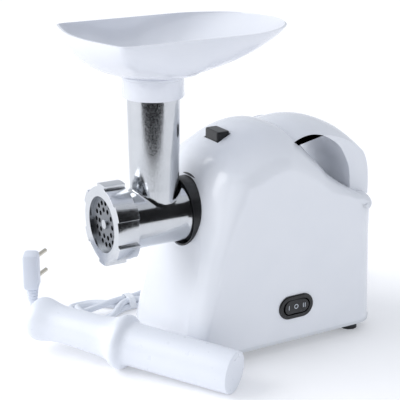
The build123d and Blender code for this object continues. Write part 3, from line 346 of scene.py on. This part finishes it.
def modify(piece, kind, **settings):
    """Adds a modifier, sets it and applies it."""
    select_only(piece)
    modifier = piece.modifiers.new(kind.lower(), kind)
    for key, value in settings.items():
        setattr(modifier, key, value)
    bpy.ops.object.modifier_apply(modifier=modifier.name)


def bevel(piece, width_mm, segments=3, angle=35):
    """Rounds every edge sharper than the angle."""
    modify(
        piece, "BEVEL", width=mm(width_mm), segments=segments, limit_method="ANGLE",
        angle_limit=math.radians(angle), use_clamp_overlap=True,
    )


def cut(piece, tool, how="DIFFERENCE"):
    """Cuts a tool out of a piece, or joins it on, and removes the tool."""
    modify(piece, "BOOLEAN", operation=how, object=tool, solver="EXACT")
    bpy.data.objects.remove(tool)


def dress(piece, material, body, slot, *nodes, angle=35):
    """Smooth shading, the finish, the body the piece moves with, and the CAD parts it stands for."""
    piece.data.materials.clear()
    piece.data.materials.append(material)
    if piece.type == "MESH":
        select_only(piece)
        bpy.ops.object.shade_smooth_by_angle(angle=math.radians(angle))
    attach(piece, body)
    if nodes:
        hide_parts(*nodes)
    print(piece.name, "replaces", nodes)


def lathe(name, profile, start, axis, steps=96):
    """Turns a profile of (along, radius) points in millimetres about an axis through start."""
    axis = Vector(axis).normalized()
    outwards = axis.orthogonal().normalized()
    spots = [start + axis * mm(along) + outwards * mm(radius) for along, radius in profile]
    bpy.ops.object.select_all(action="DESELECT")
    bpy.ops.mesh.primitive_plane_add(size=mm(1), location=spots[0])
    piece = bpy.context.object
    piece.name = piece.data.name = name
    bpy.ops.object.mode_set(mode="EDIT")
    bpy.ops.mesh.select_mode(type="VERT")
    bpy.ops.mesh.select_all(action="SELECT")
    bpy.ops.mesh.merge(type="CENTER")
    for before, after in zip(spots, spots[1:]):
        bpy.ops.mesh.extrude_region_move(TRANSFORM_OT_translate={"value": after - before})
    bpy.ops.mesh.select_all(action="SELECT")
    bpy.ops.mesh.spin(steps=steps, angle=2 * math.pi, center=start, axis=axis)
    bpy.ops.mesh.select_all(action="SELECT")
    bpy.ops.mesh.remove_doubles(threshold=mm(0.01))
    bpy.ops.mesh.normals_make_consistent(inside=False)
    bpy.ops.object.mode_set(mode="OBJECT")
    settle(piece)
    return piece


def drum(name, radius_mm, depth_mm, middle, axis=ALONG, vertices=96):
    """A capped cylinder about an axis, to start a piece from or to cut with."""
    bpy.ops.object.select_all(action="DESELECT")
    turn = Vector(axis).to_track_quat("Z", "Y").to_euler()
    bpy.ops.mesh.primitive_cylinder_add(
        vertices=vertices, radius=mm(radius_mm), depth=mm(depth_mm), location=middle, rotation=turn,
    )
    piece = bpy.context.object
    piece.name = piece.data.name = name
    settle(piece)
    return piece


def skinned(name, rows, around=False):
    """A mesh through rows of points; `around` joins each row's end to its start."""
    width = len(rows[0])
    faces = [
        (i * width + j, i * width + (j + 1) % width, (i + 1) * width + (j + 1) % width, (i + 1) * width + j)
        for i in range(len(rows) - 1) for j in range(width if around else width - 1)
    ]
    data = bpy.data.meshes.new(name)
    data.from_pydata([point for row in rows for point in row], [], faces)
    piece = bpy.data.objects.new(name, data)
    bpy.context.collection.objects.link(piece)
    return piece


def blended(stops, at):
    """A value that runs smoothly between (place, value) stops."""
    for (low, first), (high, second) in zip(stops, stops[1:]):
        if at <= high:
            share = min(max((at - low) / (high - low), 0), 1)
            return first + (second - first) * share * share * (3 - 2 * share)
    return stops[-1][1]


def flowing(points, steps):
    """A smooth line through a few points, with `steps` points to each run."""
    ends = [Vector(points[0]) * 2 - Vector(points[1]), *map(Vector, points)]
    ends.append(ends[-1] * 2 - ends[-2])
    line = []
    for a, b, c, d in zip(ends, ends[1:], ends[2:], ends[3:]):
        for step in range(steps):
            t = step / steps
            line.append(0.5 * (2 * b + (c - a) * t + (2 * a - 5 * b + 4 * c - d) * t**2
                               + (3 * b - a - 3 * c + d) * t**3))
    return line + [ends[-2]]


# %% [markdown]
# ## Floor and lamps
# A large floor glows a little, as a lit table does. An even pale surround gives most of the light, and
# one broad lamp from the front left models the forms, so the switch side stays in soft shade. Polished
# metal needs something dark to mirror, or it looks like grey plastic, so a wide dark card stands to the
# right, a dark strip stands in front, and a low dark card stands near the floor, where the upright feed
# tube mirrors it. Only reflections see them.

# %% Floor, surround, lamps and cards
bpy.ops.object.select_all(action="DESELECT")
bpy.ops.mesh.primitive_plane_add(size=12)
floor = bpy.context.object
floor.name = "floor"
floor.data.materials.append(floor_paint)
world = bpy.data.worlds.new("surround")
bpy.context.scene.world = world
world.use_nodes = True
world.node_tree.nodes["Background"].inputs["Color"].default_value = linear("#f1f5fc")
world.node_tree.nodes["Background"].inputs["Strength"].default_value = 0.76
bpy.context.scene.view_settings.view_transform = "Standard"
sun_data = bpy.data.lights.new("broad_lamp", "SUN")
sun_data.energy = 1.9
sun_data.angle = math.radians(55)
sun = bpy.data.objects.new("broad_lamp", sun_data)
bpy.context.collection.objects.link(sun)
sun.rotation_euler = Vector((0.45, 0.80, -0.55)).to_track_quat("-Z", "Y").to_euler()
card_black = finish("black_card", ("#0a0a0b", "#0d0d0e"), (0.9, 1.0), 5, (0.01, 0.05), IOR=1.4)
for name, spot, width, height in (
    ("dark_card", (1250, -100, 420), 2.8, 1.7), ("dark_strip", (420, -1250, 500), 0.5, 1.2),
    ("dark_low", (470, -260, -30), 1.3, 0.34),
):
    bpy.ops.object.select_all(action="DESELECT")
    aim = (place(0, 20, 20) - place(*spot)).to_track_quat("Z", "Y").to_euler()
    bpy.ops.mesh.primitive_plane_add(size=1, location=place(*spot), rotation=aim)
    card = bpy.context.object
    card.name = name
    card.scale = (width, height, 1)
    settle(card)
    card.data.materials.append(card_black)
    card.visible_camera = card.visible_shadow = card.visible_diffuse = False
    print(name, "is", width, "by", height, "m")

# %% [markdown]
# ## The casing
# The motor casing is two moulded halves that meet on the centre plane. Its side view is easy to draw,
# but its crown is not one radius: the roof falls away broadly at the top and more tightly low down. So
# it is skinned. Rows of points follow the side view, and each row after the flat middle drops a little
# further inwards along a quarter of an oval whose two radii change along the outline. A wall thickness
# is then given inwards, and the second half is a mirrored copy.

# %% Side view of the casing and its crown
HALF_WIDTH, BOTTOM_UP, WALL = 61, -115.5, 2.2
roof = [
    (78.5, -4), (84, 28), (95, 51), (122, 67.5), (150, 73), (172, 65.5), (192, 43), (213, 20), (236, 4.5),
]
front_line = flowing([(54.6, BOTTOM_UP), (59.5, -92), (66, -62), (72.3, -32), *roof], 7)
rear_line = flowing([(246.5, -3), (247.8, -25), (249.6, -70), (251.3, BOTTOM_UP)], 7)
corner = [Vector(spot) for spot in ((240.5, 4.1), (243, 3.4), (244.9, 2), (246.1, -0.1), (246.5, -3))]
outline = front_line + corner + rear_line[1:]
crown_stops = [
    (0, (32, 12)), (110, (36, 16)), (150, (44, 25)), (195, (56, 33)), (255, (56, 33)), (300, (46, 20)),
    (330, (34, 9)), (346, (22, 4.5)), (362, (22, 16)), (390, (22, 20)), (520, (22, 20)),
]
crease_stops = [(0, 27), (85, 27), (125, 0), (500, 0)]
CROWN_STEPS = 14


def casing_rows():
    """Rows from the centre plane to the side face, each a copy of the outline drawn in."""
    run, rows = 0.0, []
    columns = []
    for index, spot in enumerate(outline):
        before, after = outline[max(index - 1, 0)], outline[min(index + 1, len(outline) - 1)]
        heading = (after - before).normalized()
        inwards = Vector((heading.y, -heading.x))
        run += (spot - outline[index - 1]).length if index else 0
        across = blended([(at, value[0]) for at, value in crown_stops], run)
        depth = blended([(at, value[1]) for at, value in crown_stops], run)
        crease = math.radians(blended(crease_stops, run))
        column = []
        flat_end = HALF_WIDTH - across + across * math.sin(crease)
        for share in (0, 0.3, 0.6, 0.85, 0.97):
            column.append((share * flat_end, 0))
        lost = 1 - math.cos(crease)
        for step in range(CROWN_STEPS + 1):
            turn = crease + (math.pi / 2 - crease) * step / CROWN_STEPS
            inset = depth * (1 - math.cos(turn) - lost) / (1 - lost)
            column.append((HALF_WIDTH - across * (1 - math.sin(turn)), inset))
        column.append((HALF_WIDTH, depth + 1.5))
        columns.append([
            place(x, spot.x + inwards.x * inset, max(spot.y + inwards.y * inset, BOTTOM_UP))
            for x, inset in column
        ])
    return [list(row) for row in zip(*columns)]


# %% Right half, then its mirrored copy
casing_right = skinned("casing_right", casing_rows())
select_only(casing_right)
bpy.ops.object.mode_set(mode="EDIT")
bpy.ops.mesh.select_all(action="DESELECT")
bpy.ops.mesh.select_mode(type="EDGE")
bpy.ops.object.mode_set(mode="OBJECT")
last_row = len(casing_right.data.vertices) - len(outline)
for edge in casing_right.data.edges:
    edge.select = all(index >= last_row for index in edge.vertices)
bpy.ops.object.mode_set(mode="EDIT")
bpy.ops.mesh.edge_face_add()
bpy.ops.mesh.select_all(action="SELECT")
bpy.ops.mesh.remove_doubles(threshold=mm(0.01))
bpy.ops.mesh.normals_make_consistent(inside=False)
bpy.ops.object.mode_set(mode="OBJECT")
side_face = max(casing_right.data.polygons, key=lambda face: face.area)
if side_face.normal.x < 0:
    casing_right.data.flip_normals()
modify(casing_right, "SOLIDIFY", thickness=mm(WALL), offset=-1, use_even_offset=False)
print("casing half has", len(casing_right.data.polygons), "faces")

# %% Openings: the socket in front, the button's well, and the switch in the right half
casing_left = casing_right.copy()
casing_left.data = casing_right.data.copy()
casing_left.name = casing_left.data.name = "casing_left"
bpy.context.collection.objects.link(casing_left)
for vertex in casing_left.data.vertices:
    vertex.co.x = 2 * AXIS_X - vertex.co.x
casing_left.data.flip_normals()
for half in (casing_right, casing_left):
    cut(half, drum("socket_tool", 30.6, 40, place(0, 76, 0)))
    bpy.ops.mesh.primitive_cube_add(size=1, location=place(0, 113.7, 62))
    well = bpy.context.object
    well.scale = (mm(23.8), mm(13.3), mm(40))
    settle(well)
    cut(half, well)
    dress(half, casing_abs, "root", "gloss_white_abs", half.name.replace("casing_", "") + "_shell", angle=24)

# %% [markdown]
# ## The carry handle
# The handle is a broad hood that grows out of the roof and comes down to the rear shelf. Its side view
# is drawn as one flat face and extruded across the machine in steps. The outer skin is then lowered
# towards both sides, as the roof beside it is, and the long edges are rounded to be kind to the hand.

# %% Handle
outer = flowing([(158, 64), (168, 69), (185, 72.5), (202, 71.5), (217, 67), (232, 59.5), (243, 48.5),
                 (248, 33), (249.6, 14), (249.8, 0)], 5)
inner = flowing([(229, 0), (229, 12), (227.5, 27), (223, 38), (216.5, 48.8), (207, 56.5), (198, 61),
                 (186, 63.5), (174, 62), (160, 56)], 5)
HANDLE_STEPS, EDGE_DROP = 10, 10
side_view = [place(-41.5, *spot) for spot in outer + inner]
handle_data = bpy.data.meshes.new("handle_hood")
handle_data.from_pydata(side_view, [], [range(len(side_view))])
handle = bpy.data.objects.new("handle_hood", handle_data)
bpy.context.collection.objects.link(handle)
select_only(handle)
bpy.ops.object.mode_set(mode="EDIT")
bpy.ops.mesh.select_all(action="SELECT")
for _ in range(HANDLE_STEPS):
    bpy.ops.mesh.extrude_region_move(TRANSFORM_OT_translate={"value": (mm(83) / HANDLE_STEPS, 0, 0)})
bpy.ops.mesh.select_all(action="SELECT")
bpy.ops.mesh.normals_make_consistent(inside=False)
bpy.ops.object.mode_set(mode="OBJECT")
for vertex in handle.data.vertices:
    across, back, up = (vertex.co - place(0, 0, 0)) * 1000
    if any(abs(back - spot.x) + abs(up - spot.y) < 0.1 for spot in outer):
        vertex.co.z -= mm(EDGE_DROP) * (across / 41.5) ** 2 * min(max((up - 8) / 50, 0), 1)
bevel(handle, 5.5, 5, 60)
dress(handle, casing_abs, "root", "gloss_white_abs", "carry_handle", angle=30)

# %% [markdown]
# ## The grinding head
# The head is one casting: a barrel, a feed tube and a bell-shaped flange where it meets the motor. The
# outside is made as two turned forms, joined, then remeshed and relaxed, which gives the soft fillets a
# sand or die casting has where the tube leaves the barrel. Bores are cut afterwards so that they stay
# crisp, as a machinist would.

# %% Casting
head = lathe("meat_head", [
    (4, 0), (4, 30), (19, 30), (21, 25.6), (60, 25.6), (70, 25.9), (75, 27.0), (79, 28.4),
    (84.4, 28.2), (84.5, 0),
], place(0, 0, 0), ALONG)
tube = lathe(
    "tube_form", [(0, 0), (0, 20.9), (30, 21.2), (60, 21.8), (121, 22.7), (121, 0)], place(0, 51, 0), UPWARDS,
)
cut(head, tube, "UNION")
modify(head, "REMESH", mode="VOXEL", voxel_size=mm(0.9))
modify(head, "SMOOTH", factor=0.5, iterations=14)
tail_form = lathe("tail_form", [(80, 0), (80, 24), (98, 24), (98, 0)], place(0, 0, 0), ALONG)
cut(head, tail_form, "UNION")
for radius, low, high in ((27.2, 2, 19), (21, 18, 90), (9, 85, 100)):
    cut(head, drum("bore_tool", radius, high - low, place(0, (low + high) / 2, 0)))
cut(head, drum("bore_tool", 19.4, 140, place(0, 51, 70), UPWARDS))
dress(head, head_aluminium, "head", "cast_aluminium", "grinding_head", angle=35)
head.data.materials.append(tube_aluminium)
for face in head.data.polygons:
    if face.center.z > AXIS_Z + mm(27):
        face.material_index = 1
print("head has", len(head.data.polygons), "faces")

# %% Black ring round the socket
trim = lathe("socket_trim", [
    (74, 28.9), (83.5, 28.9), (83.5, 30.5), (74, 30.5), (73.4, 30.2), (73.4, 29.2), (74, 28.9),
], place(0, 0, 0), ALONG)
dress(trim, black_abs, "root", "black_abs", "socket_ring")

# %% [markdown]
# ## The ring nut
# The nut is a cast ring with six broad grip lugs. A drum is the start. Four of every sixteen side faces
# are pulled outwards for a lug, the corners are rounded, and the outlet and the thread's seat are cut.

# %% Nut
nut = drum("ring_nut_shell", 33.0, 19.5, place(0, 9.75, 0))
select_only(nut)
bpy.ops.object.mode_set(mode="EDIT")
bpy.ops.mesh.select_mode(type="FACE")
bpy.ops.mesh.select_all(action="DESELECT")
bpy.ops.object.mode_set(mode="OBJECT")
for face in nut.data.polygons:
    middle = face.center - place(0, 0, 0)
    turn = math.degrees(math.atan2(middle.x, middle.z)) % 60
    face.select = abs(face.normal.y) < 0.5 and min(turn, 60 - turn) < 10
bpy.ops.object.mode_set(mode="EDIT")
bpy.ops.mesh.extrude_region_shrink_fatten(TRANSFORM_OT_shrink_fatten={"value": mm(3.0)})
bpy.ops.object.mode_set(mode="OBJECT")
bevel(nut, 1.5, 4, 40)
cut(nut, drum("outlet_tool", 24.5, 60, place(0, 9.75, 0)))
cut(nut, drum("seat_tool", 30.1, 30, place(0, 19.1, 0)))
dress(nut, nut_aluminium, "nut", "cast_aluminium", "ring_nut", angle=32)

# %% [markdown]
# ## The tray
# The tray is one thin moulding: a scoop with a round bowl in front, straight sides and a long rear lip,
# standing on a collar that slips over the feed tube. Seen from above, each direction from the tube has
# its own distance to the rim. So the tray is skinned in rings from the collar to the rim, and the
# section in each direction is a part of an oval, boxier at the sides and flatter towards the rear.

# %% Rim seen from above, and the bowl between collar and rim
TUBE_BACK, RIM_UP, NECK_UP = 51, 162, 126.5
rim = [
    *flowing([(65, 20), (65, 60), (65, 100), (64, 116), (59, 131), (49, 148), (35, 160.5), (18, 168.8),
              (4, 171.2)], 5),
    *flowing([(-4, 171.2), (-18, 168.8), (-35, 160.5), (-49, 148), (-59, 131), (-64, 116), (-65, 100),
              (-65, 60), (-65, 20)], 5),
    *flowing([(-65, 8), (-64.8, -2), (-61.5, -7.8), (-54, -10.8), (-40, -14.5), (-20, -19), (0, -20.5),
              (20, -19), (40, -14.5), (54, -10.8), (61.5, -7.8), (64.8, -2), (65, 8)], 5),
]
TRAY_STEPS = 22


def tray_rows(wall):
    """Rings from the collar up to the rim. The wall argument is not used."""
    rows = [[] for _ in range(TRAY_STEPS + 1)]
    for spot in rim:
        direction = Vector((spot.x, spot.y - TUBE_BACK))
        reach = direction.length
        unit = direction / reach
        boxy = blended([(60, 3.2), (66, 2.6), (72, 1.9), (90, 1.6), (122, 1.25)], reach)
        for step, row in enumerate(rows):
            out = math.sin(math.pi / 2 * step / TRAY_STEPS)
            rise = 1 - (1 - out**boxy) ** (1 / boxy)
            radius = 26 + (reach - 26) * out
            up = NECK_UP + (RIM_UP - NECK_UP) * rise
            row.append(place(unit.x * radius, TUBE_BACK + unit.y * radius, up))
    return rows


# %% Tray body, wall and collar
tray = skinned("hopper_scoop", tray_rows(0), around=True)
select_only(tray)
bpy.ops.object.mode_set(mode="EDIT")
bpy.ops.mesh.select_all(action="SELECT")
bpy.ops.mesh.remove_doubles(threshold=mm(0.01))
bpy.ops.mesh.normals_make_consistent(inside=False)
bpy.ops.object.mode_set(mode="OBJECT")
if min(tray.data.polygons, key=lambda face: face.center.z).normal.z > 0:
    tray.data.flip_normals()
modify(tray, "SOLIDIFY", thickness=mm(1.9), offset=-1, use_even_offset=True)
collar = lathe("collar_form", [
    (105.5, 23.1), (105.5, 25.4), (106.3, 26), (121.6, 26), (122, 26.7), (123.8, 26.7), (124.2, 26),
    (127.5, 26.3),
    (128.6, 26), (128.6, 19.9), (127.3, 19.9), (127.3, 23.1), (105.5, 23.1),
], place(0, TUBE_BACK, 0), UPWARDS)
select_only(collar)
tray.select_set(True)
bpy.context.view_layer.objects.active = tray
bpy.ops.object.join()
dress(tray, tray_abs, "tray", "gloss_white_abs", "hopper_tray", angle=38)

# %% [markdown]
# ## The pusher
# The pusher is a turned shape: a knob for the palm, a waisted grip, a rounded collar that stops it at
# the tray, and a long shank. It lies on its collar and on the rim of its flat end. One profile is spun.

# %% Pusher
collar_at = 107.4
lift = math.atan2(24.3 - 18.8, collar_at)
level_heading = Vector((-0.8425, -0.5386, 0)).normalized()
pusher_axis = level_heading * math.cos(lift) + UPWARDS * math.sin(lift)
pusher_start = place(107, 68, TABLE_UP + 18.8 * math.cos(lift))
pusher = lathe("loose_pusher", [
    (0, 0), (0, 17.6), (0.35, 18.4), (1.2, 18.8), (94.9, 18.8), (98.4, 19), (100.5, 19.8), (101.7, 21.4),
    (103.3, 23.3), (105.3, 24.15), (107.4, 24.3), (109.5, 23.9), (111.5, 22.9), (113.9, 21.2), (116.9, 19.7),
    (120.9, 18.5), (127, 17.7), (136, 17.2), (150, 16.8), (164, 16.4), (172.6, 16.6), (178.6, 17.3),
    (183.6, 18.6),
    (188.6, 19.8), (192.6, 20), (196, 19.2), (199, 16.8), (200.8, 12.8), (201.5, 8), (201.6, 0),
], pusher_start, pusher_axis)
modify(pusher, "SUBSURF", levels=1, render_levels=1)
dress(pusher, pusher_abs, "loose_pusher", "gloss_white_abs", "pusher", angle=50)

# %% [markdown]
# ## The switch
# The switch sits in a black stadium-shaped bezel with a rocker that tilts both ways. A drum pulled
# apart at its middle makes a stadium: its edges are rounded and a smaller stadium is cut through it for the
# well.

# %% Bezel
SWITCH_BACK, SWITCH_UP = 159.5, 42 + TABLE_UP


def stadium(name, length, height, low, high):
    """A stadium-shaped block standing out of the right side, between two distances across."""
    block = drum(name, height / 2, high - low, place((low + high) / 2, SWITCH_BACK, SWITCH_UP), (1, 0, 0), 64)
    for vertex in block.data.vertices:
        vertex.co.y += math.copysign(mm(length - height) / 2, vertex.co.y - place(0, SWITCH_BACK, 0).y)
    return block


bezel = stadium("switch_surround", 36, 22, 58.6, 62.6)
bevel(bezel, 0.9, 3)
cut(bezel, stadium("bezel_tool", 28.4, 14.4, 57, 66))
dress(bezel, switch_black, "root", "black_abs", "switch_bezel")
cut(casing_right, stadium("hole_tool", 32, 18, 50, 70))

# %% Rocker and its marks
rocker = stadium("rocker_key", 25.2, 13, 54, 63.2)
dish = drum("dish_tool", 60, 30, place(121.8, SWITCH_BACK, SWITCH_UP), UPWARDS, 160)
cut(rocker, dish)
bevel(rocker, 0.5, 2)
dress(rocker, switch_black, "rocker", "black_abs", "switch_rocker")
for name, back, width, height in (
    ("mark_on", -8, 0.7, 4.2), ("mark_reverse_a", 7.3, 0.7, 4.2), ("mark_reverse_b", 9.1, 0.7, 4.2),
):
    bpy.ops.object.select_all(action="DESELECT")
    out = 61.83 + back * back / 118
    bpy.ops.mesh.primitive_cube_add(size=1, location=place(out, SWITCH_BACK + back, SWITCH_UP))
    mark = bpy.context.object
    mark.name = mark.data.name = name
    mark.scale = (mm(0.25), mm(width), mm(height))
    settle(mark)
    bevel(mark, 0.08, 2)
    dress(mark, mark_ink, "rocker", "black_abs")
ring_mark = lathe(
    "mark_off", [(61.7, 1.5), (61.95, 1.5), (61.95, 2.2), (61.7, 2.2), (61.7, 1.5)],
    place(0, SWITCH_BACK, SWITCH_UP), (1, 0, 0), 40,
)
dress(ring_mark, mark_ink, "rocker", "black_abs")

# %% [markdown]
# ## Pieces on the lead
# The relief is a tapered, ribbed sleeve, because a plain tube would let the lead kink at the casing.
# The plug is a block with its corners taken off and a ribbed neck. The tie is a thin clear band.

# %% Relief, tie and plug
EXIT = (-40, 19)
relief_profile = [(249, 0), (249, 5.2)]
for rib in range(5):
    at = 252 + rib * 4.2
    relief_profile += [(at, 5.0 - rib * 0.22), (at + 0.4, 4.4 - rib * 0.2), (at + 1.5, 4.3 - rib * 0.2),
                       (at + 1.9, 4.9 - rib * 0.25)]
relief_profile += [(RELIEF_END, 3.7), (RELIEF_END, 0)]
relief = lathe("lead_boot", relief_profile, place(EXIT[0], 0, EXIT[1] + TABLE_UP), ALONG, 48)
dress(relief, lead_pvc, "root", "white_pvc", "lead_relief", angle=50)
tie = drum("clear_tie", 6.6, 6, place(HANK_X, TIE_BACK, 6.65 + TABLE_UP), ALONG, 48)
for vertex in tie.data.vertices:
    vertex.co.x += math.copysign(mm(3.6), vertex.co.x - place(HANK_X, 0, 0).x)
cut(tie, drum("tie_tool", 6.0, 20, place(HANK_X - 3.6, TIE_BACK, 6.65 + TABLE_UP), ALONG, 48))
dress(tie, tie_film, "root", "white_pvc", "hank_tie")
PLUG_AT, PLUG_FOOT = (-80.6, -33.6), 49
neck_profile = [(PLUG_FOOT - 13, 0), (PLUG_FOOT - 13, 3.6)]
for rib in range(4):
    at = PLUG_FOOT - 12 + rib * 3
    neck_profile += [(at, 3.9 + rib * 0.35), (at + 0.5, 4.5 + rib * 0.35), (at + 1.6, 4.6 + rib * 0.35),
                     (at + 2.1, 4.0 + rib * 0.35)]
neck_profile += [(PLUG_FOOT + 1, 5), (PLUG_FOOT + 1, 0)]
plug = lathe("plug_body", neck_profile, place(*PLUG_AT, TABLE_UP), UPWARDS, 48)
bpy.ops.object.select_all(action="DESELECT")
plug_middle = place(*PLUG_AT, PLUG_FOOT + 17 + TABLE_UP)
bpy.ops.mesh.primitive_cube_add(size=1, location=plug_middle, rotation=(0, 0, math.radians(150)))
block = bpy.context.object
block.scale = (mm(18), mm(14), mm(34))
settle(block)
bevel(block, 3.2, 2)
select_only(plug)
block.select_set(True)
bpy.ops.object.join()
dress(plug, plug_pvc, "root", "white_pvc", "plug")

# %% Finish
dress(lead, lead_pvc, "root", "white_pvc", "mains_lead", "lead_tail", "lead_hank")
